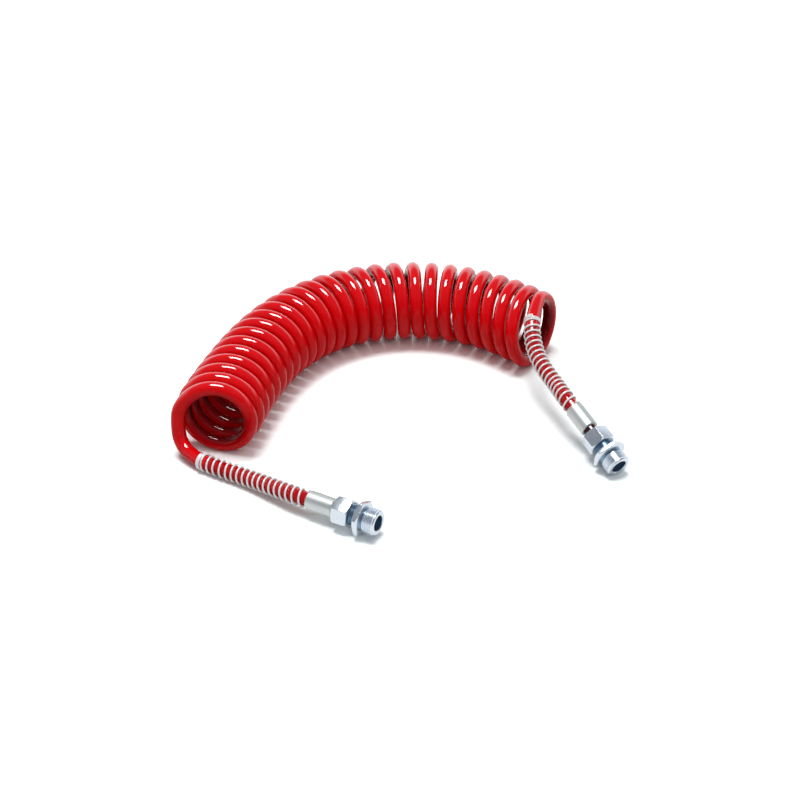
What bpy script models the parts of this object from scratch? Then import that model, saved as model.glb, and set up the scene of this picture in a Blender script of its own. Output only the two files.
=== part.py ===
"""Coiled air hose for a vehicle or a workshop line, in metres with +Z up.

A nylon tube is wound into a close coil that lies on the floor in a bend. Each end runs out of
the coil through a wire guard and a sleeve into a compression fitting: union nut, olive, tube
insert and a screw-in stud.
"""

import math

import bmesh
import bpy
import numpy as np
from mathutils import Matrix, Vector

MM = 0.001

# Fits
FIT = 0.3 * MM
GUARD_FIT = 0.35 * MM
TURN_GAP = 0.6 * MM

# Hose and its coil
HOSE_OD = 12.0 * MM
HOSE_BORE = 9.0 * MM
COIL_MEAN_DIAMETER = 60.0 * MM
COIL_TURNS = 26.25
COIL_FLAT = 1.2 * MM
POINTS_PER_TURN = 14
FIRST_POINT = 4

# The bend that the coil lies in, seen from above
FRONT_HEADING = math.radians(71.0)
FRONT_STRAIGHT = 58.1 * MM
BEND_ANGLE = math.radians(123.5)
BEND_RADIUS = 136.0 * MM
BEND_EASE = 0.3

# The front end curls in a little more than the rest, with its turns closer together
CURL_ANGLE = math.radians(7.5)
CURL_LENGTH = 87.1 * MM
CURL_TIGHT = 0.094

# The rear tail pulls the last turns over: back along the axis at the top and on the outer side
LEAN_TURNS = 6.0
LEAN_TOP = 3.0 * MM
LEAN_SIDE = 9.0 * MM

# The front lead springs the turns after the first one wider on the inner side of the bend, and
# pulls the top of the first one that way
WIDE_TURNS = 6.0
WIDE_SIDE = 3.6 * MM
PULLED_TURNS = 0.6
PULLED_SIDE = 2.0 * MM

# Wire guards
GUARD_WIRE = 1.8 * MM
GUARD_LENGTH = 115.3 * MM
GUARD_OPEN_TURNS = 18
GUARD_CLOSED_TURNS = 2
GUARD_CLOSED_GAP = 1.2 * MM
GUARD_POINTS = 10
GUARD_LAP = 20.0 * MM
BARE_LEAD = 6.0 * MM

# Sleeves between guard and nut
SLEEVE_WALL = 1.8 * MM
SLEEVE_LENGTH = 25.0 * MM
SLEEVE_EDGE = 0.8 * MM
FRONT_SLEEVE_GAP = 1.7 * MM
REAR_SLEEVE_GAP = 6.0 * MM

# Union nuts
NUT_AF = 22.0 * MM
NUT_LENGTH = 14.5 * MM
NUT_BACK_WALL = 4.0 * MM
HEX_CHAMFER = math.radians(30.0)
HEX_FACE_SHARE = 0.95
FRONT_NUT_TURN = math.radians(22.0)
REAR_NUT_TURN = math.radians(43.0)

# Screw-in studs
NECK_WALL = 1.5 * MM
NECK_START = 8.8 * MM
NECK_SHOWN = 6.8 * MM
STUD_HEX_AF = 27.0 * MM
STUD_HEX_LENGTH = 5.0 * MM
FRONT_STUD_TURN = math.radians(39.0)
REAR_STUD_TURN = math.radians(29.0)
UNDERCUT_D = 19.6 * MM
UNDERCUT_LENGTH = 2.7 * MM
THREAD_D = 22.0 * MM
THREAD_LENGTH = 9.7 * MM
THREAD_CHAMFER = 1.4 * MM
MOUTH_D = 12.8 * MM
MOUTH_DEPTH = 12.0 * MM
SOCKET_ROOM = 1.5 * MM
SOCKET_CONE = math.radians(12.0)

# Olives and tube inserts
OLIVE_STEP = 0.4 * MM
OLIVE_LIP = 0.2 * MM
INSERT_WALL = 0.9 * MM
INSERT_LENGTH = 14.0 * MM
INSERT_FLANGE = 1.0 * MM
HOSE_END_BORE = 16.0 * MM
HOSE_SEAT = 1.0 * MM

# Where the fittings lie, from the coil's ends to the studs' end faces
FRONT_END_OFFSET = (140.7 * MM, -118.6 * MM)
FRONT_END_HEADING = math.radians(-30.0)
REAR_END_OFFSET = (56.6 * MM, -179.6 * MM)
REAR_END_HEADING = math.radians(-58.7)
REAR_END_TILT = math.radians(-18.0)
FLOOR_GAP = 0.2 * MM

# Free tails from coil to fitting: offsets from the coil's end, heights above the floor
FRONT_TAIL = [
    (-30.5 * MM, 1.4 * MM, 16.5 * MM),
    (-22.2 * MM, -7.6 * MM, 9.8 * MM),
    (-10.4 * MM, -19.4 * MM, 8.6 * MM),
    (4.8 * MM, -30.0 * MM, 8.6 * MM),
    (21.4 * MM, -39.6 * MM, 8.6 * MM),
    (36.6 * MM, -50.1 * MM, 9.8 * MM),
    (51.7 * MM, -62.5 * MM, 12.2 * MM),
]
REAR_TAIL = [
    (-7.8 * MM, -17.8 * MM, 60.0 * MM),
    (-8.8 * MM, -34.0 * MM, 52.0 * MM),
    (-6.0 * MM, -53.1 * MM, 45.0 * MM),
    (0.2 * MM, -71.9 * MM, 40.5 * MM),
    (8.6 * MM, -91.1 * MM, 37.0 * MM),
]
ROUTE_STEP = 9.0 * MM
ROUTE_SAMPLES = 40
STRAIGHT_RUN = HOSE_OD

# Meshing
TURNED_STEPS = 24
SMOOTH_BELOW = math.radians(35.0)
WELD = 0.01 * MM
TANGENT_REACH = 0.5 * MM
GAP_SAMPLES = 4

# Sizes that follow from the ones above
HOSE_R = HOSE_OD / 2
COIL_R = COIL_MEAN_DIAMETER / 2
AXIS_HEIGHT = COIL_R + HOSE_R - COIL_FLAT
PITCH = (HOSE_OD + TURN_GAP) / (1 - COIL_R / BEND_RADIUS)
BEND_LENGTH = BEND_ANGLE * BEND_RADIUS / (1 - BEND_EASE)
HOLE_R = HOSE_R + FIT
SLEEVE_OD = 2 * (HOLE_R + SLEEVE_WALL)
SOCKET_MOUTH_D = HOSE_OD + 2 * SOCKET_ROOM
OLIVE_OD = SOCKET_MOUTH_D + OLIVE_STEP
NECK_D = SOCKET_MOUTH_D + 2 * NECK_WALL
STUD_BORE = HOSE_BORE
INSERT_OD = HOSE_BORE - 2 * FIT
INSERT_BORE = INSERT_OD - 2 * INSERT_WALL
INSERT_FLANGE_D = HOSE_OD - 2 * FIT
STUD_HEX_START = NUT_LENGTH + NECK_SHOWN
UNDERCUT_START = STUD_HEX_START + STUD_HEX_LENGTH
THREAD_START = UNDERCUT_START + UNDERCUT_LENGTH
STUD_END = THREAD_START + THREAD_LENGTH
SOCKET_CONE_LENGTH = (SOCKET_MOUTH_D / 2 - HOLE_R) / math.tan(SOCKET_CONE)
HOSE_END = NECK_START + SOCKET_CONE_LENGTH + HOSE_SEAT
SOCKET_END = HOSE_END + INSERT_FLANGE + 2 * FIT

PARTS = "coiled_air_hose"
CUTTERS = "cutters"


def clear_scene():
    for obj in list(bpy.data.objects):
        bpy.data.objects.remove(obj, do_unlink=True)


def new_collection(name):
    collection = bpy.data.collections.new(name)
    bpy.context.scene.collection.children.link(collection)
    return collection


def make_material(name, colour, roughness, metallic):
    material = bpy.data.materials.new(name)
    material.use_nodes = True
    shader = material.node_tree.nodes["Principled BSDF"]
    shader.inputs["Base Color"].default_value = (*colour, 1.0)
    shader.inputs["Roughness"].default_value = roughness
    shader.inputs["Metallic"].default_value = metallic
    return material


def add_object(name, data, parent=None, collection=PARTS):
    obj = bpy.data.objects.new(name, data)
    bpy.data.collections[collection].objects.link(obj)
    obj.parent = parent
    if collection == CUTTERS:
        obj.hide_render = True
        obj.display_type = "WIRE"
    return obj


def finish(obj, material):
    obj.data.materials.append(material)
    if obj.type == "MESH":
        obj.data.shade_smooth()
        obj.data.set_sharp_from_angle(angle=SMOOTH_BELOW)


# Turned and hexagonal shapes, about local +Z, which points out of the fitting


def turned(name, outline, closed, parent, collection=PARTS):
    """A solid of revolution: outline is (radius, height) points, down the outer side first."""
    mesh = bpy.data.meshes.new(name)
    shape = bmesh.new()
    points = [shape.verts.new((radius, 0.0, height)) for radius, height in outline]
    for start, end in zip(points, points[1:]):
        shape.edges.new((start, end))
    if closed:
        shape.edges.new((points[-1], points[0]))
    shape.to_mesh(mesh)
    shape.free()
    obj = add_object(name, mesh, parent, collection)
    screw = obj.modifiers.new("turn", "SCREW")
    screw.steps = TURNED_STEPS
    screw.render_steps = TURNED_STEPS
    screw.use_merge_vertices = True
    screw.merge_threshold = WELD
    return obj


def hexagon(name, across_flats, start, length, turn, parent, collection=PARTS):
    """A hexagonal prism with a flat facing local -Y before it is turned."""
    mesh = bpy.data.meshes.new(name)
    shape = bmesh.new()
    radius = across_flats / math.sqrt(3)
    bmesh.ops.create_cone(
        shape, cap_ends=True, segments=6, radius1=radius, radius2=radius, depth=length
    )
    corner = next(v.co for v in shape.verts)
    to_corner = -math.atan2(corner.y, corner.x)
    place = Matrix.Translation((0, 0, start + length / 2)) @ Matrix.Rotation(to_corner + turn, 4, "Z")
    bmesh.ops.transform(shape, matrix=place, verts=shape.verts)
    shape.to_mesh(mesh)
    shape.free()
    return add_object(name, mesh, parent, collection)


def lowest_corner(across_flats, turn):
    """How far the lowest corner of a turned hexagon lies below its middle."""
    corner = across_flats / math.sqrt(3)
    return max(-corner * math.sin(turn + k * math.tau / 6) for k in range(6))


def hex_rounding(name, across_flats, start, length, parent):
    """The turned blank of a hexagon, which rounds the hexagon's corners at both faces."""
    face = HEX_FACE_SHARE * across_flats / 2
    outer = across_flats / math.sqrt(3) + FIT
    rise = (outer - face) * math.tan(HEX_CHAMFER)
    end = start + length
    outline = [(0, end), (face, end), (outer, end - rise), (outer, start + rise), (face, start), (0, start)]
    return turned(name, outline, False, parent, CUTTERS)


def combine(obj, operation, other):
    boolean = obj.modifiers.new(operation.lower(), "BOOLEAN")
    boolean.operation = operation
    boolean.solver = "EXACT"
    boolean.object = other


# Routes of the hose


def curl(distance):
    """How much of the front end's own curl is left at a distance along the coil's axis."""
    return max(1 - distance / CURL_LENGTH, 0) ** 2


def heading(distance):
    """Direction of the coil's axis: the front curl, then eased into the bend and out of it."""
    share = min(max((distance - FRONT_STRAIGHT) / BEND_LENGTH, 0.0), 1.0)
    ease = 2 * BEND_EASE * (1 - BEND_EASE)
    if share < BEND_EASE:
        turned_by = share**2 / ease
    elif share > 1 - BEND_EASE:
        turned_by = 1 - (1 - share) ** 2 / ease
    else:
        turned_by = (share - BEND_EASE / 2) / (1 - BEND_EASE)
    return FRONT_HEADING + CURL_ANGLE * curl(distance) - BEND_ANGLE * turned_by


def coil_points():
    """Points on the hose's centre line round the coil, and the ends of the coil's axis."""
    axis = Vector((0, 0, AXIS_HEIGHT))
    start = axis.copy()
    distance = 0.0
    points = []
    for index in range(round(COIL_TURNS * POINTS_PER_TURN) + 1):
        direction = heading(distance)
        angle = math.tau * (FIRST_POINT + index) / POINTS_PER_TURN - math.pi / 2
        along = Vector((math.cos(direction), math.sin(direction), 0))
        side = Vector((-math.sin(direction), math.cos(direction), 0))
        turn = index / POINTS_PER_TURN
        lean = max(1 - (COIL_TURNS - turn) / LEAN_TURNS, 0)
        back = lean * (LEAN_TOP * math.sin(angle) + LEAN_SIDE * math.cos(angle))
        widening = min(turn, 1) ** 2 * max(1 - turn / WIDE_TURNS, 0)
        wide = WIDE_SIDE * widening * (1 - math.cos(angle)) / 2
        pulled = PULLED_SIDE * math.sin(math.pi * math.sqrt(min(turn / PULLED_TURNS, 1))) ** 2
        round_axis = math.cos(angle) * side + math.sin(angle) * Vector((0, 0, 1))
        points.append(axis + COIL_R * round_axis - back * along - (wide + pulled) * side)
        step = PITCH / POINTS_PER_TURN * (1 - CURL_TIGHT * curl(distance))
        middle = heading(distance + step / 2)
        axis = axis + step * Vector((math.cos(middle), math.sin(middle), 0))
        distance += step
    return points, start, axis


def smooth_route(knots):
    """A smooth curve through the knots, as closely spaced points."""
    knots = np.array([tuple(knot) for knot in knots])
    spacing = np.sqrt(np.linalg.norm(np.diff(knots, axis=0), axis=1))
    times = np.concatenate([[0], np.cumsum(spacing)])
    tangents = np.gradient(knots, times, axis=0, edge_order=1)
    dense = []
    for index in range(len(knots) - 1):
        span = times[index + 1] - times[index]
        for u in np.linspace(0, 1, ROUTE_SAMPLES, endpoint=False):
            dense.append(
                (2 * u**3 - 3 * u**2 + 1) * knots[index]
                + (u**3 - 2 * u**2 + u) * span * tangents[index]
                + (3 * u**2 - 2 * u**3) * knots[index + 1]
                + (u**3 - u**2) * span * tangents[index + 1]
            )
    dense.append(knots[-1])
    return np.array(dense)


class Route:
    """A curve by its length: where it is, and which way it runs, at a distance from its start."""

    def __init__(self, dense):
        self.points = dense
        steps = np.linalg.norm(np.diff(dense, axis=0), axis=1)
        self.reach = np.concatenate([[0], np.cumsum(steps)])
        self.length = self.reach[-1]

    def at(self, distance):
        return np.array([np.interp(distance, self.reach, self.points[:, k]) for k in range(3)])

    def along(self, distance):
        ahead = self.at(min(distance + TANGENT_REACH, self.length))
        behind = self.at(max(distance - TANGENT_REACH, 0))
        return (ahead - behind) / np.linalg.norm(ahead - behind)

    def straightened(self, start, end):
        """The same route with the stretch from start to end made straight."""
        kept = self.points[(self.reach <= start) | (self.reach >= end)]
        return Route(kept)

    def between(self, start, end):
        """Points from start to end, with a straight run at each end."""
        inner_start = start + STRAIGHT_RUN
        inner_end = end - STRAIGHT_RUN
        count = max(round((inner_end - inner_start) / ROUTE_STEP), 1)
        inner = [self.at(d) for d in np.linspace(inner_start, inner_end, count + 1)]
        return [self.at(start), *inner, self.at(end)]


def tube(name, points, diameter):
    """A solid round bar along the points, with its end caps welded on."""
    curve = bpy.data.curves.new(name, "CURVE")
    curve.dimensions = "3D"
    curve.bevel_depth = diameter / 2
    curve.bevel_resolution = 1
    curve.use_fill_caps = True
    spline = curve.splines.new("POLY")
    spline.points.add(len(points) - 1)
    for target, point in zip(spline.points, points):
        target.co = (*point, 1.0)
    guide = add_object(name + "_line", curve)
    mesh = bpy.data.meshes.new_from_object(guide.evaluated_get(bpy.context.evaluated_depsgraph_get()))
    shape = bmesh.new()
    shape.from_mesh(mesh)
    bmesh.ops.remove_doubles(shape, verts=shape.verts, dist=WELD)
    bmesh.ops.recalc_face_normals(shape, faces=shape.faces)
    shape.to_mesh(mesh)
    shape.free()
    obj = add_object(name, mesh)
    obj.matrix_world = guide.matrix_world
    bpy.data.objects.remove(guide, do_unlink=True)
    bpy.data.curves.remove(curve)
    return obj


def least_gap(points, diameter, apart):
    """Least clear distance between stretches of one tube that lie more than apart along it."""
    points = np.array([tuple(point) for point in points])
    shares = np.linspace(0, 1, GAP_SAMPLES, endpoint=False)[:, None]
    fine = np.concatenate([a + shares * (b - a) for a, b in zip(points, points[1:])])
    reach = np.concatenate([[0], np.cumsum(np.linalg.norm(np.diff(fine, axis=0), axis=1))])
    least = math.inf
    for index, point in enumerate(fine):
        others = fine[reach > reach[index] + apart]
        if len(others):
            least = min(least, np.linalg.norm(others - point, axis=1).min())
    return least - diameter


# Pieces of a fitting


def fitting_frame(name, end, direction, tilt):
    """An empty at the nut's back face, with local +Z along the fitting and local -Y downwards."""
    level = math.cos(tilt)
    out = Vector((level * math.cos(direction), level * math.sin(direction), math.sin(tilt)))
    side = out.cross(Vector((0, 0, 1))).normalized() * -1
    up = out.cross(side)
    empty = add_object(name, None)
    place = Matrix((side, up, out)).transposed().to_4x4()
    place.translation = end - STUD_END * out
    empty.matrix_world = place
    return empty, place


def make_nut(name, frame, turn, material):
    nut = hexagon(name, NUT_AF, 0, NUT_LENGTH, turn, frame)
    combine(nut, "INTERSECT", hex_rounding(name + "_blank", NUT_AF, 0, NUT_LENGTH, frame))
    thread_r = NECK_D / 2 + FIT
    seat_end = NUT_BACK_WALL + OLIVE_OD / 2 + FIT - HOLE_R
    beyond = NUT_LENGTH + MOUTH_DEPTH
    bore = [
        (0, beyond),
        (thread_r, beyond),
        (thread_r, seat_end),
        (OLIVE_OD / 2 + FIT, seat_end),
        (HOLE_R, NUT_BACK_WALL),
        (HOLE_R, -MOUTH_DEPTH),
        (0, -MOUTH_DEPTH),
    ]
    combine(nut, "DIFFERENCE", turned(name + "_bore", bore, False, frame, CUTTERS))
    finish(nut, material)


def make_olive(name, frame, material):
    """The ring that the nut drives into the stud's cone, so that it grips the hose."""
    radius = OLIVE_OD / 2
    back = NUT_BACK_WALL + FIT * math.sqrt(2)
    cone_gap = FIT / math.sin(SOCKET_CONE)
    front_cone = NECK_START - cone_gap - (radius - SOCKET_MOUTH_D / 2) / math.tan(SOCKET_CONE)
    lip_r = HOLE_R + OLIVE_LIP
    front = front_cone + (radius - lip_r) / math.tan(SOCKET_CONE)
    outline = [
        (lip_r, front),
        (radius, front_cone),
        (radius, back + radius - HOLE_R),
        (lip_r, back + lip_r - HOLE_R),
        (HOLE_R, back + lip_r - HOLE_R),
        (HOLE_R, front),
    ]
    finish(turned(name, outline, True, frame), material)


def make_insert(name, frame, material):
    """The flanged bush that holds the hose's end open under the olive."""
    body_r = INSERT_OD / 2
    flange_start = HOSE_END + FIT
    flange_end = flange_start + INSERT_FLANGE
    outline = [
        (INSERT_FLANGE_D / 2, flange_end),
        (INSERT_FLANGE_D / 2, flange_start),
        (body_r, flange_start),
        (body_r, HOSE_END - INSERT_LENGTH),
        (INSERT_BORE / 2, HOSE_END - INSERT_LENGTH),
        (INSERT_BORE / 2, flange_end),
    ]
    finish(turned(name, outline, True, frame), material)


def make_stud(name, frame, turn, material):
    stud = hexagon(name, STUD_HEX_AF, STUD_HEX_START, STUD_HEX_LENGTH, turn, frame)
    blank = hex_rounding(name + "_blank", STUD_HEX_AF, STUD_HEX_START, STUD_HEX_LENGTH, frame)
    combine(stud, "INTERSECT", blank)
    thread_r = THREAD_D / 2
    shank = [
        (0, STUD_END),
        (thread_r - THREAD_CHAMFER, STUD_END),
        (thread_r, STUD_END - THREAD_CHAMFER),
        (thread_r, THREAD_START),
        (UNDERCUT_D / 2, THREAD_START - (thread_r - UNDERCUT_D / 2) / 2),
        (UNDERCUT_D / 2, UNDERCUT_START - FIT),
        (NECK_D / 2, UNDERCUT_START - STUD_HEX_LENGTH / 2),
        (NECK_D / 2, NECK_START),
        (0, NECK_START),
    ]
    combine(stud, "UNION", turned(name + "_shank", shank, False, frame, CUTTERS))
    mouth_r = MOUTH_D / 2
    bore_r = STUD_BORE / 2
    mouth_end = STUD_END - MOUTH_DEPTH
    cone_per_length = math.tan(SOCKET_CONE)
    bore = [
        (0, STUD_END + MOUTH_DEPTH),
        (mouth_r, STUD_END + MOUTH_DEPTH),
        (mouth_r, mouth_end),
        (bore_r, mouth_end - (mouth_r - bore_r)),
        (bore_r, SOCKET_END),
        (HOLE_R, SOCKET_END),
        (HOLE_R, NECK_START + SOCKET_CONE_LENGTH),
        (SOCKET_MOUTH_D / 2 + FIT * cone_per_length, NECK_START - FIT),
        (0, NECK_START - FIT),
    ]
    combine(stud, "DIFFERENCE", turned(name + "_bore", bore, False, frame, CUTTERS))
    finish(stud, material)


def make_sleeve(name, frame, gap, material):
    outer = SLEEVE_OD / 2
    front = -gap
    back = front - SLEEVE_LENGTH
    outline = [
        (outer - SLEEVE_EDGE, front),
        (outer, front - SLEEVE_EDGE),
        (outer, back + SLEEVE_EDGE),
        (outer - SLEEVE_EDGE, back),
        (HOLE_R, back),
        (HOLE_R, front),
    ]
    finish(turned(name, outline, True, frame), material)


def make_tail(name, route, length, frame, material):
    """The free end of the hose, bored for the tube insert."""
    tail = tube(name, route.between(0, length), HOSE_OD)
    radius = HOSE_BORE / 2
    bore = [
        (0, HOSE_END + HOSE_END_BORE),
        (radius, HOSE_END + HOSE_END_BORE),
        (radius, HOSE_END - HOSE_END_BORE),
        (0, HOSE_END - HOSE_END_BORE),
    ]
    combine(tail, "DIFFERENCE", turned(name + "_bore", bore, False, frame, CUTTERS))
    finish(tail, material)


def make_guard(name, route, start, length, material):
    """Spring wire wound round the hose: open turns from the sleeve, then closed turns at the free end."""
    closed_pitch = GUARD_WIRE + GUARD_CLOSED_GAP
    room = length - GUARD_WIRE - GUARD_CLOSED_TURNS * closed_pitch
    open_pitch = room / GUARD_OPEN_TURNS
    steps = (GUARD_OPEN_TURNS + GUARD_CLOSED_TURNS) * GUARD_POINTS
    inside = HOSE_R + GUARD_FIT + GUARD_WIRE / 2
    radius = inside / math.cos(math.pi / GUARD_POINTS)
    up = np.array([0.0, 0.0, 1.0])
    points = []
    for index in range(steps + 1):
        turns = index / GUARD_POINTS
        open_turns = min(turns, GUARD_OPEN_TURNS)
        distance = start + GUARD_WIRE / 2 + open_turns * open_pitch + (turns - open_turns) * closed_pitch
        along = route.along(distance)
        across = np.cross(along, up)
        across /= np.linalg.norm(across)
        over = np.cross(across, along)
        angle = math.tau * turns
        points.append(route.at(distance) + radius * (math.cos(angle) * over + math.sin(angle) * across))
    print(name, "least gap", round(least_gap(points, GUARD_WIRE, math.pi * radius) / MM, 2), "mm")
    finish(tube(name, points, GUARD_WIRE), material)


def make_end(side, end, direction, tilt, sleeve_gap, turns, knots, materials):
    """One end of the hose: fitting, sleeve, guard and tail. Returns the lead from guard to coil.

    The turns are how far the nut and the stud's hexagon are turned. The last knot lies past the
    coil's first point and only sets the way the route meets it.
    """
    frame, place = fitting_frame(side + "_fitting", end, direction, tilt)
    nut_turn, stud_turn = turns
    make_nut(side + "_union_nut", frame, nut_turn, materials["zinc"])
    make_olive(side + "_olive", frame, materials["brass"])
    make_insert(side + "_tube_insert", frame, materials["brass"])
    make_stud(side + "_stud", frame, stud_turn, materials["zinc"])
    make_sleeve(side + "_sleeve", frame, sleeve_gap, materials["sleeve"])
    out = Vector(place.col[2][:3])
    back = place.translation - (sleeve_gap + SLEEVE_LENGTH) * out
    straight = [place.translation + HOSE_END * out, place.translation, back, back - STRAIGHT_RUN * out]
    route = Route(smooth_route([*straight, *knots])[:-ROUTE_SAMPLES])
    guard_start = HOSE_END + sleeve_gap + SLEEVE_LENGTH + FIT
    guard_length = min(GUARD_LENGTH, route.length - BARE_LEAD - guard_start)
    split = guard_start + guard_length - GUARD_LAP
    route = route.straightened(split - STRAIGHT_RUN - FIT, split + STRAIGHT_RUN)
    make_guard(side + "_guard", route, guard_start, guard_length, materials["wire"])
    make_tail(side + "_tail", route, split - FIT, frame, materials["hose"])
    return route.between(split, route.length)


def make_coil(points, material):
    coil = tube("coil", points, HOSE_OD)
    reach = max(max(abs(c) for c in point[:2]) for point in points) + HOSE_OD
    mesh = bpy.data.meshes.new("floor_cut")
    shape = bmesh.new()
    bmesh.ops.create_cube(shape, size=1.0)
    bmesh.ops.scale(shape, vec=(2 * reach, 2 * reach, HOSE_OD), verts=shape.verts)
    bmesh.ops.translate(shape, vec=(0, 0, -HOSE_OD / 2), verts=shape.verts)
    shape.to_mesh(mesh)
    shape.free()
    combine(coil, "DIFFERENCE", add_object("floor_cut", mesh, None, CUTTERS))
    finish(coil, material)


def centre_on_floor(parts):
    """Move everything so that the footprint's middle is the origin."""
    bpy.context.view_layer.update()
    graph = bpy.context.evaluated_depsgraph_get()
    spots = []
    for obj in parts:
        shape = obj.evaluated_get(graph)
        spots += [shape.matrix_world @ vertex.co for vertex in shape.to_mesh().vertices]
        shape.to_mesh_clear()
    low = [min(spot[k] for spot in spots) for k in range(2)]
    high = [max(spot[k] for spot in spots) for k in range(2)]
    middle = Vector(((low[0] + high[0]) / 2, (low[1] + high[1]) / 2, 0))
    for obj in bpy.data.objects:
        if obj.parent is None:
            obj.location -= middle
    bpy.context.view_layer.update()


def main():
    clear_scene()
    parts = new_collection(PARTS)
    new_collection(CUTTERS)
    materials = {
        "hose": make_material("red_nylon", (0.68, 0.010, 0.014), 0.18, 0.0),
        "wire": make_material("galvanised_wire", (0.80, 0.82, 0.82), 0.25, 1.0),
        "sleeve": make_material("galvanised_sleeve", (0.66, 0.70, 0.68), 0.42, 1.0),
        "zinc": make_material("bright_zinc", (0.74, 0.80, 0.86), 0.22, 1.0),
        "brass": make_material("brass", (0.72, 0.52, 0.22), 0.35, 1.0),
    }
    coil, coil_start, coil_end = coil_points()
    floor = Vector((1, 1, 0))

    front_height = lowest_corner(STUD_HEX_AF, FRONT_STUD_TURN)
    front_end = coil_start * floor + Vector((*FRONT_END_OFFSET, front_height))
    front_knots = [coil_start * floor + Vector(point) for point in reversed(FRONT_TAIL)]
    front_lead = make_end(
        "front", front_end, FRONT_END_HEADING, 0.0, FRONT_SLEEVE_GAP, (FRONT_NUT_TURN, FRONT_STUD_TURN),
        [*front_knots, coil[0], coil[1]], materials,
    )

    rear_height = THREAD_D / 2 * math.cos(REAR_END_TILT) + FLOOR_GAP
    rear_end = coil_end * floor + Vector((*REAR_END_OFFSET, rear_height))
    rear_knots = [coil_end * floor + Vector(point) for point in reversed(REAR_TAIL)]
    rear_lead = make_end(
        "rear", rear_end, REAR_END_HEADING, REAR_END_TILT, REAR_SLEEVE_GAP, (REAR_NUT_TURN, REAR_STUD_TURN),
        [*rear_knots, coil[-1], coil[-2]], materials,
    )

    whole = [*front_lead[:-1], *coil, *reversed(rear_lead[:-1])]
    print("coil least gap", round(least_gap(whole, HOSE_OD, math.pi * COIL_R) / MM, 2), "mm")
    make_coil(whole, materials["hose"])
    centre_on_floor([obj for obj in parts.objects if obj.type == "MESH"])


main()
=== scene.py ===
"""Looks of the coiled air hose: hose, wire guards, sleeves and screwed fittings, in the part's frame."""

import math

import bmesh
import bpy
import numpy as np
from mathutils import Matrix, Vector
from mathutils.kdtree import KDTree


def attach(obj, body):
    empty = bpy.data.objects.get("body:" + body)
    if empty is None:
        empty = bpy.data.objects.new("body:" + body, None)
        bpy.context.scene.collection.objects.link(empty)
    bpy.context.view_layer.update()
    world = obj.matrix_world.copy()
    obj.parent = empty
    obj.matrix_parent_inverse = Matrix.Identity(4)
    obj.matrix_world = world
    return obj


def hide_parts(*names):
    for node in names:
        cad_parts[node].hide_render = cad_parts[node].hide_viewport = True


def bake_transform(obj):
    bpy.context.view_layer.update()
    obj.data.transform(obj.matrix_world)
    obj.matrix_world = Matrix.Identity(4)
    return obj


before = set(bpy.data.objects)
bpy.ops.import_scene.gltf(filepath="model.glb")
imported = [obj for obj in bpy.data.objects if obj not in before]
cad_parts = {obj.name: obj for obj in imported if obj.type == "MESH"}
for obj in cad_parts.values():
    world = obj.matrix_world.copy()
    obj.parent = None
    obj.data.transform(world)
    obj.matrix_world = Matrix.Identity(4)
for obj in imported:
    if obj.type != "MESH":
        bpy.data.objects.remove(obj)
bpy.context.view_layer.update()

# Camera: stands above the front of the hose and square to it, with a long lens, so that the
# turns stay almost the same size from the near end of the coil to the far one.
CAMERA_TARGET = Vector((0.001262, 0.031968, 0.0))
CAMERA_DISTANCE = 1.6723
CAMERA_ELEVATION = math.radians(32.56)
CAMERA_LENS = 84.2

camera = bpy.data.objects.new("camera", bpy.data.cameras.new("camera"))
bpy.context.scene.collection.objects.link(camera)
line_of_sight = Vector((0, math.cos(CAMERA_ELEVATION), -math.sin(CAMERA_ELEVATION)))
camera.location = CAMERA_TARGET - CAMERA_DISTANCE * line_of_sight
camera.rotation_euler = line_of_sight.to_track_quat("-Z", "Y").to_euler()
camera.data.lens = CAMERA_LENS
bpy.context.scene.camera = camera
bpy.context.scene.view_settings.view_transform = "Standard"


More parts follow.
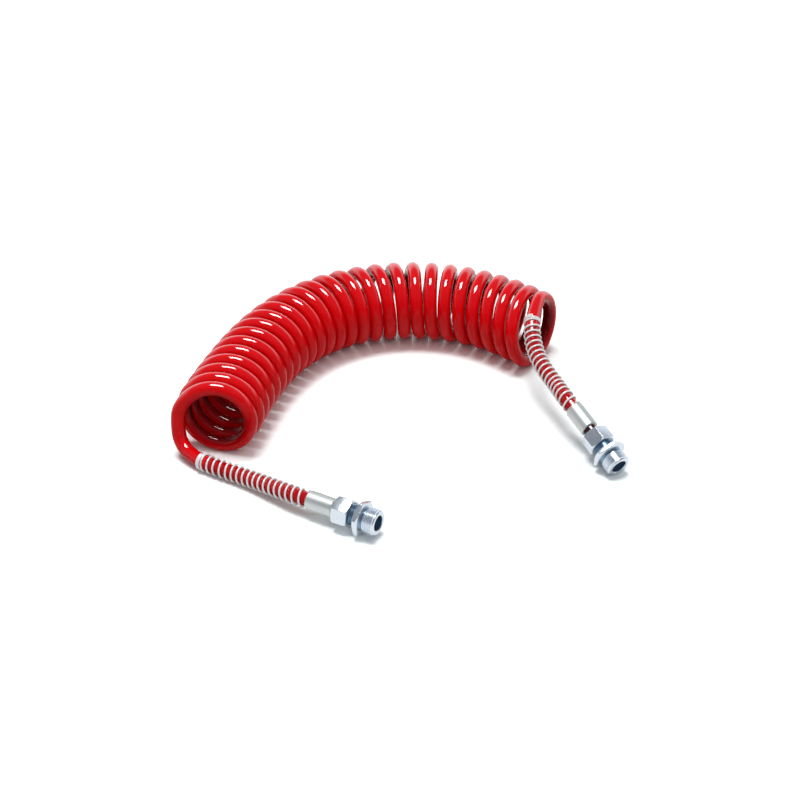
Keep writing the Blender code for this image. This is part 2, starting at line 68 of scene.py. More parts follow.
# Studio: a matt white floor in a room that is white low down and dark above. A soft box overhead is
# the one lamp that gloss and metal mirror, beside a wide ceiling lamp and a weak fill from the front.
# To the eye the floor is overexposed, so that only close shadows show on it.
class Signal:
    """A shader value. Sums of signals and numbers add the Math nodes that work them out."""

    def __init__(self, tree, socket=None):
        self.tree = tree
        self.socket = socket

    def node(self, kind, settings=None, inputs=None, output=0):
        """Any other node: its settings come first, then the values or links of its sockets."""
        node = self.tree.nodes.new(kind)
        for key, value in (settings or {}).items():
            if key == "stops":
                ramp = node.color_ramp.elements
                while len(ramp) < len(value):
                    ramp.new(1.0)
                for element, (place, colour) in zip(ramp, value):
                    element.position = place
                    element.color = (*colour, 1.0)
            else:
                setattr(node, key, value)
        for key, value in (inputs or {}).items():
            if isinstance(value, Signal):
                self.tree.links.new(value.socket, node.inputs[key])
            else:
                node.inputs[key].default_value = value
        return Signal(self.tree, node.outputs[output])

    def maths(self, operation, first, second=0.0):
        return self.node("ShaderNodeMath", {"operation": operation}, {0: first, 1: second})

    def __add__(self, other):
        return self.maths("ADD", self, other)

    __radd__ = __add__

    def __sub__(self, other):
        return self.maths("SUBTRACT", self, other)

    def __rsub__(self, other):
        return self.maths("SUBTRACT", other, self)

    def __mul__(self, other):
        return self.maths("MULTIPLY", self, other)

    __rmul__ = __mul__

    def between(self, low, high):
        """The colour that lies this far from the low one to the high one, each given or a signal."""
        low, high = (end if isinstance(end, Signal) else (*end, 1.0) for end in (low, high))
        return self.node("ShaderNodeMix", {"data_type": "RGBA"}, {0: self, 6: low, 7: high}, output=2)

    def noise(self, vector, scale, detail):
        return self.node("ShaderNodeTexNoise", inputs={"Vector": vector, "Scale": scale, "Detail": detail})

    def bump(self, strength, depth, height):
        inputs = {"Strength": strength, "Distance": depth, "Height": height}
        return self.node("ShaderNodeBump", inputs=inputs)

    def rays(self):
        """Whether the light goes to the camera, and whether it goes to gloss or metal."""
        return [self.node("ShaderNodeLightPath", output=kind) for kind in ("Is Camera Ray", "Is Glossy Ray")]

    def feed(self, node, socket):
        self.tree.links.new(self.socket, node.inputs[socket])


def new_finish(name, **same_all_over):
    """A material, the start of its signals, and its shader with the values that don't vary."""
    material = bpy.data.materials.new(name)
    material.use_nodes = True
    shader = material.node_tree.nodes["Principled BSDF"]
    for socket, value in same_all_over.items():
        shader.inputs[socket.replace("_", " ")].default_value = value
    return material, Signal(material.node_tree), shader


FLOOR_SIZE = 3.6
FLOOR_TO_EYE = (1.22, 1.29, 1.29)
FLOOR_IN_METAL = 0.85
FLOOR_TO_LIGHT = 0.55
ROOM_LIGHT = 0.26
BACKDROP_RISE = 0.25
ROOM_STOPS = [
    (0.0, (0.95, 0.97, 1.0)), (0.18, (0.84, 0.88, 0.93)),
    (0.45, (0.12, 0.13, 0.16)), (1.0, (0.05, 0.055, 0.065)),
]
BACKDROP_WHITE = (1.0, 1.0, 1.0)
FACING_DOWN = (0.0, 0.0, 0.0)
FACING_PART = (math.radians(55.0), 0.0, 0.0)
# Each lamp's place, size, turn and watts, and whether gloss and metal mirror it.
LAMPS = {
    "ceiling_lamp": ((1.4, -1.0, 5.0), (7.0, 7.0), FACING_DOWN, 130.0, False),
    "softbox": ((-0.6, 0.2, 6.0), (3.0, 2.2), FACING_DOWN, 300.0, True),
    "fill_lamp": ((0.2, -3.4, 2.4), (3.0, 2.0), FACING_PART, 20.0, False),
}

floor_shape = bmesh.new()
bmesh.ops.create_grid(floor_shape, x_segments=1, y_segments=1, size=FLOOR_SIZE / 2)
floor_mesh = bpy.data.meshes.new("floor")
floor_shape.to_mesh(floor_mesh)
floor_shape.free()
floor = bpy.data.objects.new("floor", floor_mesh)
bpy.context.scene.collection.objects.link(floor)
floor_finish, start, shader = new_finish("floor_white", Roughness=0.9, Specular_IOR_Level=0.0)
to_eye, in_metal = start.rays()
unseen = in_metal.between((FLOOR_TO_LIGHT,) * 3, (FLOOR_IN_METAL,) * 3)
to_eye.between(unseen, FLOOR_TO_EYE).feed(shader, "Base Color")
floor_mesh.materials.append(floor_finish)

world = bpy.data.worlds.new("studio")
bpy.context.scene.world = world
world.use_nodes = True
start = Signal(world.node_tree)
background = world.node_tree.nodes["Background"]
way = start.node("ShaderNodeTexCoord", output="Generated")
back, height = (start.node("ShaderNodeSeparateXYZ", inputs={0: way}, output=k) for k in (1, 2))
room = start.node("ShaderNodeValToRGB", {"stops": ROOM_STOPS}, {0: height - BACKDROP_RISE * back})
to_eye, in_metal = start.rays()
to_eye.between(room, BACKDROP_WHITE).feed(background, "Color")
(ROOM_LIGHT + (1.0 - ROOM_LIGHT) * (to_eye + in_metal)).feed(background, "Strength")

for name, (where, size, turn, watts, mirrored) in LAMPS.items():
    lamp = bpy.data.objects.new(name, bpy.data.lights.new(name, "AREA"))
    bpy.context.scene.collection.objects.link(lamp)
    lamp.data.shape = "RECTANGLE"
    lamp.data.size, lamp.data.size_y = size
    lamp.data.energy = watts
    lamp.location = where
    lamp.rotation_euler = turn
    lamp.visible_glossy = mirrored

# Hose: one nylon tube, extruded, wound hot on a bar so that it keeps its coil, and laid down in
# a bend. The front lead springs the first turns open, and the rear one pulls the last ones over.
MM = 0.001
HOSE_D = 12.3 * MM
HOSE_BORE = 9.0 * MM
HOSE_SIDES = 32
HOSE_BORE_DEPTH = 16.0 * MM
HOSE_STEP = 3.4 * MM
COIL_R = 30.0 * MM
COIL_PITCH = 16.166 * MM
COIL_POINTS = 56
COIL_FIRST = 16
COIL_STEPS = 1472
COIL_START = Vector((-0.156566, -0.056312, 0.0))
COIL_END = Vector((0.127929, 0.090766, 0.0))
COIL_HEIGHT = 36.0 * MM
FRONT_HEADING = math.radians(71.0)
FRONT_STRAIGHT = 58.1 * MM
BEND_ANGLE = math.radians(123.5)
BEND_RADIUS = 136.0 * MM
BEND_EASE = 0.3
BEND_LENGTH = BEND_ANGLE * BEND_RADIUS / (1 - BEND_EASE)
CURL_ANGLE = math.radians(7.5)
CURL_LENGTH = 87.1 * MM
CURL_TIGHT = 0.094
LEAN_TURNS = 6.0
LEAN_TOP = 3.0 * MM
LEAN_SIDE = 9.0 * MM
WIDE_TURNS = 6.0
WIDE_SIDE = 3.6 * MM
PULLED_TURNS = 0.6
PULLED_SIDE = 2.0 * MM
HOSE_END = 15.45 * MM
STUD_END = 38.7 * MM
SLEEVE_LENGTH = 25.0 * MM
SLEEVE_GAPS = {"front": 1.7 * MM, "rear": 6.0 * MM}
TAIL_STRAIGHT = 12.0 * MM
FRONT_END = Vector((140.7, -118.6, 15.397)) * MM
FRONT_DIRECTION = math.radians(-30.0)
FRONT_TAIL = [
    (-30.0, 3.0, 27.5), (-28.8, 0.2, 17.5), (-24.3, -5.5, 11.5), (-18.5, -11.8, 9.3), (-10.4, -19.4, 8.6),
    (4.8, -30.0, 8.6), (21.4, -39.6, 8.6), (36.6, -50.1, 9.8), (51.7, -62.5, 12.2),
]
REAR_DIRECTION = math.radians(-58.7)
REAR_TILT = math.radians(-18.0)
REAR_END = Vector((56.6, -179.6, 11.0 * math.cos(REAR_TILT) + 0.2)) * MM
REAR_TAIL = [
    (-7.8, -17.8, 60.0), (-8.8, -34.0, 52.0), (-6.0, -53.1, 45.0), (0.2, -71.9, 40.5), (8.6, -91.1, 37.0),
]
# Points at the rear end of the coil that the lead takes over.
REAR_RELEASE = 6
LEAD_POINTS = 4
ROUTE_SAMPLES = 40
ROUTE_NEAR = 0.5 * MM


def curl(distance):
    """How much of the front end's own curl is left at a distance along the coil's axis."""
    return max(1 - distance / CURL_LENGTH, 0) ** 2


def heading(distance):
    """Direction of the coil's axis: the front curl, then eased into the bend and out of it."""
    share = min(max((distance - FRONT_STRAIGHT) / BEND_LENGTH, 0.0), 1.0)
    ease = 2 * BEND_EASE * (1 - BEND_EASE)
    if share < BEND_EASE:
        turned_by = share**2 / ease
    elif share > 1 - BEND_EASE:
        turned_by = 1 - (1 - share) ** 2 / ease
    else:
        turned_by = (share - BEND_EASE / 2) / (1 - BEND_EASE)
    return FRONT_HEADING + CURL_ANGLE * curl(distance) - BEND_ANGLE * turned_by


def coil_points():
    """Points on the hose's centre line round the coil."""
    axis = COIL_START + Vector((0, 0, COIL_HEIGHT))
    distance = 0.0
    points = []
    for index in range(COIL_STEPS + 1):
        direction = heading(distance)
        angle = math.tau * (COIL_FIRST + index) / COIL_POINTS - math.pi / 2
        along = Vector((math.cos(direction), math.sin(direction), 0))
        side = Vector((-math.sin(direction), math.cos(direction), 0))
        turn = index / COIL_POINTS
        lean = max(1 - (COIL_STEPS / COIL_POINTS - turn) / LEAN_TURNS, 0)
        back = lean * (LEAN_TOP * math.sin(angle) + LEAN_SIDE * math.cos(angle))
        widening = min(turn, 1) ** 2 * max(1 - turn / WIDE_TURNS, 0)
        wide = WIDE_SIDE * widening * (1 - math.cos(angle)) / 2
        pulled = PULLED_SIDE * math.sin(math.pi * math.sqrt(min(turn / PULLED_TURNS, 1))) ** 2
        round_axis = math.cos(angle) * side + math.sin(angle) * Vector((0, 0, 1))
        points.append(axis + COIL_R * round_axis - back * along - (wide + pulled) * side)
        step = COIL_PITCH / COIL_POINTS * (1 - CURL_TIGHT * curl(distance))
        middle = heading(distance + step / 2)
        axis = axis + step * Vector((math.cos(middle), math.sin(middle), 0))
        distance += step
    return points


def fitting_frame(end, direction, tilt):
    """Place of a fitting: its nut's back face, with local +Z along it and local -Y downwards."""
    level = math.cos(tilt)
    out = Vector((level * math.cos(direction), level * math.sin(direction), math.sin(tilt)))
    side = out.cross(Vector((0, 0, 1))).normalized() * -1
    place = Matrix((side, out.cross(side), out)).transposed().to_4x4()
    place.translation = end - STUD_END * out
    return place


def smooth_route(knots):
    """A smooth curve through the knots, as closely spaced points."""
    knots = np.array([tuple(knot) for knot in knots])
    times = np.concatenate([[0], np.cumsum(np.sqrt(np.linalg.norm(np.diff(knots, axis=0), axis=1)))])
    tangents = np.gradient(knots, times, axis=0, edge_order=1)
    dense = []
    for index in range(len(knots) - 1):
        span = times[index + 1] - times[index]
        for u in np.linspace(0, 1, ROUTE_SAMPLES, endpoint=False):
            dense.append(
                (2 * u**3 - 3 * u**2 + 1) * knots[index]
                + (u**3 - 2 * u**2 + u) * span * tangents[index]
                + (3 * u**2 - 2 * u**3) * knots[index + 1]
                + (u**3 - u**2) * span * tangents[index + 1]
            )
    return dense


class Route:
    """A curve by its length: where it is, and which way it runs, at a distance from its start."""

    def __init__(self, points):
        self.points = np.array([tuple(point) for point in points])
        self.reach = np.concatenate([[0], np.cumsum(np.linalg.norm(np.diff(self.points, axis=0), axis=1))])
        self.length = self.reach[-1]

    def at(self, distance):
        return np.array([np.interp(distance, self.reach, self.points[:, k]) for k in range(3)])

    def along(self, distance):
        run = self.at(min(distance + ROUTE_NEAR, self.length)) - self.at(max(distance - ROUTE_NEAR, 0))
        return run / np.linalg.norm(run)


def tail_knots(side, place, offsets, coil_end, coil):
    """The hose's way from its end in the fitting to the coil, whose next points set its direction."""
    out = Vector(place.col[2][:3])
    nut_back = place.translation
    sleeve_back = nut_back - (SLEEVE_GAPS[side] + SLEEVE_LENGTH) * out
    straight = [nut_back + HOSE_END * out, nut_back, sleeve_back, sleeve_back - TAIL_STRAIGHT * out]
    return [*straight, *[coil_end + Vector(offset) * MM for offset in reversed(offsets)], *coil]


def swept(points, diameter, sides):
    """A round bar along the points, with open ends. Each ring of it lies at one of the points."""
    curve = bpy.data.curves.new("sweep", "CURVE")
    curve.dimensions = "3D"
    curve.bevel_depth = diameter / 2
    curve.bevel_resolution = (sides - 4) // 2
    spline = curve.splines.new("POLY")
    spline.points.add(len(points) - 1)
    for target, point in zip(spline.points, points):
        target.co = (*point, 1.0)
    guide = bpy.data.objects.new("sweep", curve)
    bpy.context.scene.collection.objects.link(guide)
    graph = bpy.context.evaluated_depsgraph_get()
    mesh = bpy.data.meshes.new_from_object(guide.evaluated_get(graph))
    bpy.data.objects.remove(guide)
    bpy.data.curves.remove(curve)
    shape = bmesh.new()
    shape.from_mesh(mesh)
    bpy.data.meshes.remove(mesh)
    return shape


def finished(name, shape, material, smooth_below=math.radians(40)):
    """The piece: its mesh, closed and pointing outwards, with its material."""
    bmesh.ops.recalc_face_normals(shape, faces=shape.faces)
    mesh = bpy.data.meshes.new(name)
    shape.to_mesh(mesh)
    shape.free()
    mesh.shade_smooth()
    mesh.set_sharp_from_angle(angle=smooth_below)
    mesh.materials.append(material)
    piece = bpy.data.objects.new(name, mesh)
    bpy.context.scene.collection.objects.link(piece)
    return piece


places = {
    "front": fitting_frame(COIL_START + FRONT_END, FRONT_DIRECTION, 0.0),
    "rear": fitting_frame(COIL_END + REAR_END, REAR_DIRECTION, REAR_TILT),
}
coil = coil_points()[:-REAR_RELEASE]
tails = {
    "front": tail_knots("front", places["front"], FRONT_TAIL, COIL_START, [coil[0], coil[LEAD_POINTS]]),
    "rear": tail_knots("rear", places["rear"], REAR_TAIL, COIL_END, [coil[-1], coil[-1 - LEAD_POINTS]]),
}
routes = {side: Route(smooth_route(knots)[:-ROUTE_SAMPLES]) for side, knots in tails.items()}
whole = Route([*routes["front"].points, *coil, *reversed(routes["rear"].points)])
hose_path = [whole.at(d) for d in np.linspace(0, whole.length, round(whole.length / HOSE_STEP) + 1)]

hose_shape = swept(hose_path, HOSE_D, HOSE_SIDES)
for end, behind in ((hose_path[0], hose_path[1]), (hose_path[-1], hose_path[-2])):
    into = Vector(behind - end).normalized()
    rim = [e for e in hose_shape.edges if e.is_boundary and (e.verts[0].co - Vector(end)).length < HOSE_D]
    for scale, depth in ((HOSE_BORE / HOSE_D, 0.0), (1.0, HOSE_BORE_DEPTH)):
        made = bmesh.ops.extrude_edge_only(hose_shape, edges=rim)["geom"]
        ring = [item for item in made if isinstance(item, bmesh.types.BMVert)]
        rim = [item for item in made if isinstance(item, bmesh.types.BMEdge) and item.is_boundary]
        bmesh.ops.scale(hose_shape, vec=(scale,) * 3, space=Matrix.Translation(-Vector(end)), verts=ring)
        bmesh.ops.translate(hose_shape, vec=depth * into, verts=ring)
    bmesh.ops.holes_fill(hose_shape, edges=rim, sides=0)

HOSE_RED = (0.76, 0.002, 0.005)
HOSE_DEEP = (0.68, 0.001, 0.003)
# Painted shade: the inward side of each coil turn, where little light reaches, is darkened to this
# near-black red.
HOSE_BEND_SHADE = (0.12, 0.0003, 0.001)
# Painted shade under the wire guards: the hose is this darker red for the given length from each end.
HOSE_GUARD_SHADE = (0.46, 0.001, 0.003)
# Painted shade at the hose's ends, where they run into the nuts and the gap before the sleeves: near black
# for the given length.
HOSE_END_SHADE = (0.03, 0.001, 0.003)
GUARD_SHADE_LENGTH = 150.0 * MM
END_SHADE_LENGTH = 24.0 * MM
BEND_SHADE_FADE_TURNS = 0.25
# Painted sheen: only the upward-facing side of the hose gets the glossy coat, between these heights of its
# normal.
UPPER_SHEEN_RANGE = (0.35, 0.75)
TONE_SCALE = 7.0
DRAWN_SCALE = (9.0, 9.0, 12.0)
hose_finish, start, shader = new_finish(
    "red_nylon", Specular_IOR_Level=0.12, Coat_Roughness=0.04, Coat_IOR=1.85
)
uv = start.node("ShaderNodeUVMap", {"uv_map": "UVMap"})
shares = [start.node("ShaderNodeSeparateXYZ", inputs={0: uv}, output=k) for k in range(2)]
along, around = shares[0] * whole.length, shares[1] * math.tau
surface = start.node("ShaderNodeCombineXYZ", inputs={
    0: start.maths("COSINE", around), 1: start.maths("SINE", around), 2: along,
})
tone = start.noise(surface, TONE_SCALE, 3.0)
lengthways = start.node("ShaderNodeVectorMath", {"operation": "MULTIPLY"}, {0: surface, 1: DRAWN_SCALE})
drawn = start.noise(lengthways, 1.0, 4.0)
from_end = start.maths("MINIMUM", along, whole.length - along)
# Painted shade inside the coil's bends, read from the attribute that is set on the hose below.
inside = start.node("ShaderNodeAttribute", {"attribute_name": "inside_of_bend"}, output="Fac")
colour = tone.between(HOSE_DEEP, HOSE_RED)
for share, other in (
    (inside, HOSE_BEND_SHADE),
    # painted shade under the wire guards
    (start.maths("LESS_THAN", from_end, GUARD_SHADE_LENGTH), HOSE_GUARD_SHADE),
    # painted shade at the ends in the fittings
    (start.maths("LESS_THAN", from_end, END_SHADE_LENGTH), HOSE_END_SHADE),
):
    colour = share.between(colour, other)
colour.feed(shader, "Base Color")
# Painted sheen: the coat, and with it the lamp's highlight, lies only on the hose's upward-facing side.
outward = start.node("ShaderNodeTexCoord", output="Normal")
upward = start.node("ShaderNodeSeparateXYZ", inputs={0: outward}, output=2)
upper_sheen_inputs = {0: upward, 1: UPPER_SHEEN_RANGE[0], 2: UPPER_SHEEN_RANGE[1]}
start.node("ShaderNodeMapRange", {"interpolation_type": "SMOOTHSTEP"}, upper_sheen_inputs).feed(shader, "Coat Weight")
(0.06 + 0.08 * drawn).feed(shader, "Roughness")
start.bump(0.12, 0.2 * MM, drawn).feed(shader, "Normal")

hose = finished("hose", hose_shape, hose_finish)
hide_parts("coil", "front_tail", "rear_tail")
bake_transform(hose)
nearest = KDTree(len(hose_path))
for index, point in enumerate(hose_path):
    nearest.insert(point, index)
nearest.balance()
lead = routes["front"].length
turn_length = (whole.length - lead - routes["rear"].length) / (COIL_STEPS / COIL_POINTS)
rings = np.array([nearest.find(vertex.co)[1] for vertex in hose.data.vertices])
turns = (rings * whole.length / (len(hose_path) - 1) - lead) / turn_length
route_points = np.array(hose_path)
bends = np.zeros_like(route_points)
bends[1:-1] = (route_points[2:] - 2 * route_points[1:-1] + route_points[:-2]) * COIL_R / HOSE_STEP**2
skin = np.array([tuple(vertex.co) for vertex in hose.data.vertices])
outwards = (skin - route_points[rings]) / (HOSE_D / 2)
# Painted shade's share at each vertex: how far the skin faces into the bend, fading in over the coil's first
# quarter turn.
inside = np.clip((outwards * bends[rings]).sum(axis=1), 0, 1) * np.clip(turns / BEND_SHADE_FADE_TURNS, 0, 1)
attribute = hose.data.attributes.new("inside_of_bend", "FLOAT", "POINT")
attribute.data.foreach_set("value", inside.astype(np.float32))

# Wire guards: zinc-coated spring wire wound round each tail against kinking, in open turns up
# to the sleeve and two closed ones at the coil's end, where the wire grips the hose.
GUARD_WIRE = 1.7 * MM
GUARD_SIDES = 12
GUARD_LENGTH = 115.3 * MM
GUARD_OPEN_TURNS = 18
GUARD_CLOSED_TURNS = 2
GUARD_CLOSED_PITCH = 1.04 * GUARD_WIRE
GUARD_POINTS = 28
GUARD_ROOM = 0.08 * MM
BARE_LEAD = 6.0 * MM
PIECE_GAP = 0.3 * MM
BODIES = {"front": "coil", "rear": "rear_end"}
WIRE_DULL = (0.90, 0.91, 0.92)
WIRE_BRIGHT = (0.97, 0.98, 0.98)
WIRE_SPANGLE_SCALE = 900.0


def guard_path(route, begin, length):
    """The wire's centre line, from the sleeve to the coil's end."""
    closed_length = GUARD_WIRE + GUARD_CLOSED_TURNS * GUARD_CLOSED_PITCH
    open_pitch = (length - closed_length) / GUARD_OPEN_TURNS
    radius = HOSE_D / 2 + GUARD_ROOM + GUARD_WIRE / 2
    points = []
    for index in range((GUARD_OPEN_TURNS + GUARD_CLOSED_TURNS) * GUARD_POINTS + 1):
        wound = index / GUARD_POINTS
        opened = min(wound, GUARD_OPEN_TURNS)
        closed = wound - opened
        distance = begin + GUARD_WIRE / 2 + opened * open_pitch + closed * GUARD_CLOSED_PITCH
        along = route.along(distance)
        across = np.cross(along, (0.0, 0.0, 1.0))
        across /= np.linalg.norm(across)
        over = np.cross(across, along)
        angle = math.tau * wound
        points.append(route.at(distance) + radius * (math.cos(angle) * over + math.sin(angle) * across))
    return points


wire_finish, start, shader = new_finish("galvanised_wire", Metallic=0.2)
spangle = start.noise(start.node("ShaderNodeTexCoord", output="Object"), WIRE_SPANGLE_SCALE, 3.0)
spangle.between(WIRE_DULL, WIRE_BRIGHT).feed(shader, "Base Color")
(0.24 + 0.12 * spangle).feed(shader, "Roughness")

guards = {}
for side, route in routes.items():
    begin = HOSE_END + SLEEVE_GAPS[side] + SLEEVE_LENGTH + PIECE_GAP
    length = min(GUARD_LENGTH, route.length - BARE_LEAD - begin)
    guard_shape = swept(guard_path(route, begin, length), GUARD_WIRE, GUARD_SIDES)
    bmesh.ops.holes_fill(guard_shape, edges=guard_shape.edges, sides=0)
    guards[side] = finished(side + "_wire_guard", guard_shape, wire_finish)
    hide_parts(side + "_guard")
    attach(guards[side], BODIES[side])

# Sleeves: short lengths of drawn zinc-coated steel tube, pushed on the hose between guard and
# nut. Both ends are turned to a small bevel. The rear sleeve has slid a little off its nut.
SLEEVE_D = 16.2 * MM
SLEEVE_HOLE = 12.6 * MM
SLEEVE_EDGE = 0.8 * MM
SLEEVE_PALE = (0.80, 0.84, 0.82)
SLEEVE_GREY = (0.58, 0.63, 0.62)
SLEEVE_STREAKS = (900.0, 900.0, 30.0)
SLEEVE_CLOUDS = (170.0, 170.0, 90.0)
TURNED_STEPS = 96
WELD = 0.001 * MM


def spun(profile):
    """A turned shape about local +Z. Its profile is a row of radii and heights."""
    shape = bmesh.new()
    line = [shape.verts.new((radius, 0, height)) for radius, height in profile]
    edges = [shape.edges.new(pair) for pair in zip(line, line[1:])]
    bmesh.ops.spin(
        shape, geom=[*line, *edges], axis=(0, 0, 1), angle=math.tau, steps=TURNED_STEPS, use_merge=True
    )
    bmesh.ops.remove_doubles(shape, verts=shape.verts, dist=WELD)
    return shape


def put(shape, place):
    """The shape, moved to its place."""
    bmesh.ops.transform(shape, matrix=place, verts=shape.verts)
    return shape


def fitting_coordinates(start, place):
    """Where a point lies in its fitting: z along it, from the nut's back face."""
    return start.node("ShaderNodeMapping", {"vector_type": "TEXTURE"}, {
        "Vector": start.node("ShaderNodeTexCoord", output="Object"),
        "Location": place.translation, "Rotation": place.to_euler(),
    })


def stretched_noise(start, coordinates, scale, detail):
    """Noise with its own fineness on each axis, in waves to the metre."""
    vector = start.node("ShaderNodeVectorMath", {"operation": "MULTIPLY"}, {0: coordinates, 1: scale})
    return start.noise(vector, 1.0, detail)


sleeves = {}
for side, place in places.items():
    front = -SLEEVE_GAPS[side]
    back = front - SLEEVE_LENGTH
    outer, hole = SLEEVE_D / 2, SLEEVE_HOLE / 2
    sleeve_shape = spun([
        (hole, front), (outer - SLEEVE_EDGE, front), (outer, front - SLEEVE_EDGE),
        (outer, back + SLEEVE_EDGE), (outer - SLEEVE_EDGE, back), (hole, back), (hole, front),
    ])
    finish, start, shader = new_finish(side + "_galvanised_sleeve", Metallic=0.85)
    local = fitting_coordinates(start, place)
    streaks = stretched_noise(start, local, SLEEVE_STREAKS, 3.0)
    clouds = stretched_noise(start, local, SLEEVE_CLOUDS, 4.0)
    (0.5 * streaks + 0.5 * clouds).between(SLEEVE_GREY, SLEEVE_PALE).feed(shader, "Base Color")
    (0.38 + 0.20 * streaks).feed(shader, "Roughness")
    start.bump(0.2, 0.1 * MM, streaks).feed(shader, "Normal")
    sleeves[side] = finished(side + "_guard_sleeve", put(sleeve_shape, place), finish)
    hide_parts(side + "_sleeve")
    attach(sleeves[side], BODIES[side])

# Olives and tube inserts: small turned brass rings inside the nuts. The nut drives the olive into
# the stud's cone, so that it grips the hose, and the insert keeps the hose's end round.
BRASS_DARK = (0.62, 0.42, 0.15)
BRASS_PALE = (0.78, 0.58, 0.26)
BRASS_GRAIN_SCALE = 1400.0

brass_finish, start, shader = new_finish("turned_brass", Metallic=1.0)
grain = start.noise(start.node("ShaderNodeTexCoord", output="Object"), BRASS_GRAIN_SCALE, 3.0)
grain.between(BRASS_DARK, BRASS_PALE).feed(shader, "Base Color")
(0.25 + 0.2 * grain).feed(shader, "Roughness")
for side in places:
    for name in ("_olive", "_tube_insert"):
        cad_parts[side + name].material_slots[0].material = brass_finish

# Union nuts: turned and milled from hexagonal steel bar, with the corners chamfered at both
# faces, and plated with bright zinc. They screw on the studs' necks and press on the olives.
HEX_CHAMFER = math.radians(30.0)
HEX_FACE_SHARE = 0.97
HEX_SHARP = math.radians(20.0)
HEX_ROUNDING = 0.28 * MM
NUT_ACROSS = 22.0 * MM
NUT_LENGTH = 14.5 * MM
NUT_TURNS = {"front": math.radians(22.0), "rear": math.radians(43.0)}
NUT_INSIDE = [(7.3, 0.0), (6.4, 0.9), (6.4, 4.0), (7.9, 5.5), (9.3, 5.5), (9.3, 13.9), (9.9, 14.5)]
ZINC_PALE = (0.94, 0.96, 0.98)
ZINC_BLUE = (0.62, 0.75, 0.88)
ZINC_PAINTED_SHADE = (0.22, 0.34, 0.46)
ZINC_BLOOM = (260.0, 260.0, 260.0)
ZINC_MARKS = (300.0, 300.0, 2600.0)
# Painted shade in the recesses (the neck between nut and stud hexagon, the undercut and the bore): between
# two heights and within a radius, in mm.
PAINTED_SHADE_BANDS = [(14.6, 21.2, 9.7), (26.4, 28.3, 10.2), (17.1, 38.4, 6.8)]


def hexagon(across, low, high, low_hole, high_hole):
    """A hexagon from low to high with a hole in each face: a turned blank, milled to six flats."""
    face, corner = HEX_FACE_SHARE * across / 2, across / math.sqrt(3)
    shape = spun([
        (low_hole, low), (face, low), (corner, low), (corner, high), (face, high), (high_hole, high),
    ])
    for vertex in shape.verts:
        radius = vertex.co.xy.length
        if radius > face + WELD:
            off_flat = math.atan2(vertex.co.y, vertex.co.x) % (math.tau / 6) - math.tau / 12
            milled = across / 2 / math.cos(off_flat)
            inwards = 1 if vertex.co.z < (low + high) / 2 else -1
            vertex.co.xy *= milled / radius
            vertex.co.z += inwards * (milled - face) * math.tan(HEX_CHAMFER)
    shape.normal_update()
    sharp = [edge for edge in shape.edges if not edge.is_boundary and edge.calc_face_angle() > HEX_SHARP]
    bmesh.ops.bevel(
        shape, geom=sharp, offset=HEX_ROUNDING, offset_type="OFFSET", affect="EDGES", segments=2,
        profile=0.5, clamp_overlap=True, material=-1,
    )
    return shape


def joined(shape, *others):
    """One shape of several, welded where their edges meet."""
    for other in others:
        mesh = bpy.data.meshes.new("joined")
        other.to_mesh(mesh)
        other.free()
        shape.from_mesh(mesh)
        bpy.data.meshes.remove(mesh)
    bmesh.ops.remove_doubles(shape, verts=shape.verts, dist=WELD)
    return shape


zinc = {}
nuts = {}
for side, place in places.items():
    zinc[side], start, shader = new_finish(side + "_bright_zinc", Metallic=0.8)
    local = fitting_coordinates(start, place)
    bloom = stretched_noise(start, local, ZINC_BLOOM, 5.0)
    marks = stretched_noise(start, local, ZINC_MARKS, 2.0)
    flat = start.node("ShaderNodeVectorMath", {"operation": "MULTIPLY"}, {0: local, 1: (1.0, 1.0, 0.0)})
    radius = start.node("ShaderNodeVectorMath", {"operation": "LENGTH"}, {0: flat}, output=1)
    height = start.node("ShaderNodeSeparateXYZ", inputs={0: local}, output=2)
    # Painted shade: the plating is darkened in those recesses.
    shaded_recess = 0.0
    for low, high, within in PAINTED_SHADE_BANDS:
        above = start.maths("GREATER_THAN", height, low * MM)
        below = start.maths("LESS_THAN", height, high * MM)
        shaded_recess = above * below * start.maths("LESS_THAN", radius, within * MM) + shaded_recess
    plated = (0.75 * bloom + 0.25 * marks).between(ZINC_BLUE, ZINC_PALE)
    shaded_recess.between(plated, ZINC_PAINTED_SHADE).feed(shader, "Base Color")
    (0.12 + 0.12 * bloom + 0.10 * marks).feed(shader, "Roughness")
    start.bump(0.15, 0.1 * MM, marks).feed(shader, "Normal")

    inside = spun([(r * MM, z * MM) for r, z in NUT_INSIDE])
    back_hole, front_hole = NUT_INSIDE[0][0] * MM, NUT_INSIDE[-1][0] * MM
    nut_shape = joined(hexagon(NUT_ACROSS, 0.0, NUT_LENGTH, back_hole, front_hole), inside)
    put(nut_shape, place @ Matrix.Rotation(NUT_TURNS[side], 4, "Z"))
    nuts[side] = finished(side + "_hexagon_nut", nut_shape, zinc[side])
    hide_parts(side + "_union_nut")
    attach(nuts[side], side + "_nut")

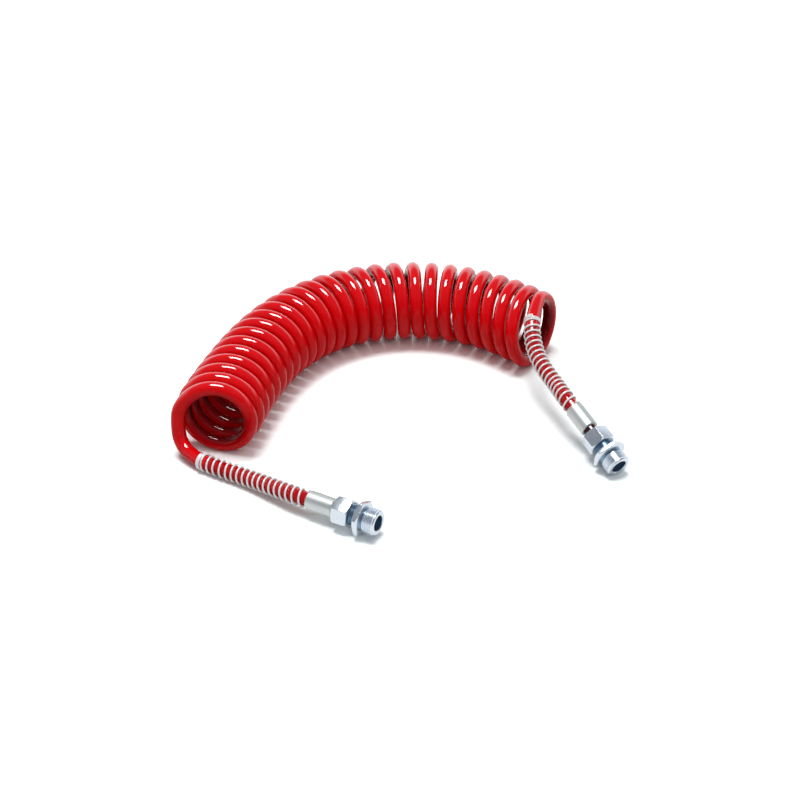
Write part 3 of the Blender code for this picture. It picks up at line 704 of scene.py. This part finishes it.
# Studs: turned from larger hexagonal bar and plated like the nuts. The neck takes the nut, and the
# long thread with its undercut and chamfered end screws into a port. The bore runs through.
THREAD_PITCH = 1.5 * MM
THREAD_DEPTH = 0.61 * THREAD_PITCH
THREAD_STEPS = 72
THREAD_SHARES = (0.0, 0.25, 0.5625, 0.6875, 1.0)
STUD_ACROSS = 27.0 * MM
STUD_TURNS = {"front": math.radians(39.0), "rear": math.radians(29.0)}
STUD_HEX = (21.3 * MM, 26.3 * MM)
STUD_FACE_HOLES = (9.4 * MM, 10.4 * MM)
PORT_THREAD_R = 11.0 * MM
PORT_THREAD = (28.4 * MM, 38.7 * MM)
PORT_THREAD_ENDS = (9.8 * MM, 9.6 * MM)
NECK_THREAD_R = 9.0 * MM
NECK_THREAD = (8.8 * MM, 20.0 * MM)
NECK_THREAD_ENDS = (8.0 * MM, 7.9 * MM)
END_CONE = 1.0
UNDERCUT_CONE = 2.0
BORE = [
    (7.0, 38.7), (6.4, 38.1), (6.4, 26.7), (4.5, 24.8), (4.5, 17.05), (6.3, 17.05), (6.3, 14.45), (7.5, 8.8),
]


def screw_thread(radius, ends, end_radii, cones):
    """A right-hand thread between two heights, turned down to a cone at each end."""
    shape = bmesh.new()
    low, high = ends
    root = radius - THREAD_DEPTH
    tooth = zip((root, root, radius, radius, root), THREAD_SHARES)
    line = [shape.verts.new((r, 0, low + (share - 2) * THREAD_PITCH)) for r, share in tooth]
    edges = [shape.edges.new(pair) for pair in zip(line, line[1:])]
    turns = math.ceil((high - low) / THREAD_PITCH) + 3
    bmesh.ops.spin(
        shape, geom=[*line, *edges], axis=(0, 0, 1), dvec=(0, 0, THREAD_PITCH / THREAD_STEPS),
        angle=math.tau * turns, steps=THREAD_STEPS * turns,
    )
    bmesh.ops.remove_doubles(shape, verts=shape.verts, dist=WELD)
    for height, beyond in ((low, -1), (high, 1)):
        bmesh.ops.bisect_plane(
            shape, geom=[*shape.verts, *shape.edges, *shape.faces], plane_co=(0, 0, height),
            plane_no=(0, 0, beyond), clear_outer=True,
        )
    for vertex in shape.verts:
        low_cone = end_radii[0] + (vertex.co.z - low) * cones[0]
        high_cone = end_radii[1] + (high - vertex.co.z) * cones[1]
        vertex.co.xy *= min(1.0, min(low_cone, high_cone) / vertex.co.xy.length)
    return shape


def open_ring(shape, height):
    """The open edges at a height."""
    return [edge for edge in shape.edges
            if edge.is_boundary and all(abs(vertex.co.z - height) < WELD for vertex in edge.verts)]


def turned_on(shape, edges, profile):
    """Carries the turned surface on from its open edges along radii and heights."""
    for (radius, height), (next_radius, next_height) in zip(profile, profile[1:]):
        made = bmesh.ops.extrude_edge_only(shape, edges=edges)["geom"]
        ring = [item for item in made if isinstance(item, bmesh.types.BMVert)]
        edges = [item for item in made if isinstance(item, bmesh.types.BMEdge) and item.is_boundary]
        bmesh.ops.scale(shape, vec=(next_radius / radius, next_radius / radius, 1.0), verts=ring)
        bmesh.ops.translate(shape, vec=(0, 0, next_height - height), verts=ring)


studs = {}
for side, place in places.items():
    port = screw_thread(PORT_THREAD_R, PORT_THREAD, PORT_THREAD_ENDS, (UNDERCUT_CONE, END_CONE))
    inside = [(r * MM, z * MM) for r, z in BORE]
    turned_on(port, open_ring(port, PORT_THREAD[1]), [(PORT_THREAD_ENDS[1], PORT_THREAD[1]), *inside])
    undercut = (PORT_THREAD_ENDS[0], PORT_THREAD[0])
    turned_on(port, open_ring(port, PORT_THREAD[0]), [undercut, (PORT_THREAD_ENDS[0], STUD_HEX[1])])
    neck = screw_thread(NECK_THREAD_R, NECK_THREAD, NECK_THREAD_ENDS, (END_CONE, UNDERCUT_CONE))
    run_out = (NECK_THREAD_ENDS[1], NECK_THREAD[1])
    turned_on(neck, open_ring(neck, NECK_THREAD[1]), [run_out, (NECK_THREAD_ENDS[1], STUD_HEX[0])])
    stud_shape = joined(hexagon(STUD_ACROSS, *STUD_HEX, *STUD_FACE_HOLES), port, neck)
    for height in (NECK_THREAD[0], *STUD_HEX):
        bmesh.ops.bridge_loops(stud_shape, edges=open_ring(stud_shape, height))
    studs[side] = finished(
        side + "_screw_stud", put(stud_shape, place @ Matrix.Rotation(STUD_TURNS[side], 4, "Z")), zinc[side]
    )
    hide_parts(side + "_stud")
    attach(studs[side], side + "_stud")

# The pieces that the hose's far end carries.
rear_pieces = [group["rear"] for group in (guards, sleeves, nuts, studs)]
rear_pieces += [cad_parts["rear_" + name] for name in ("olive", "tube_insert")]
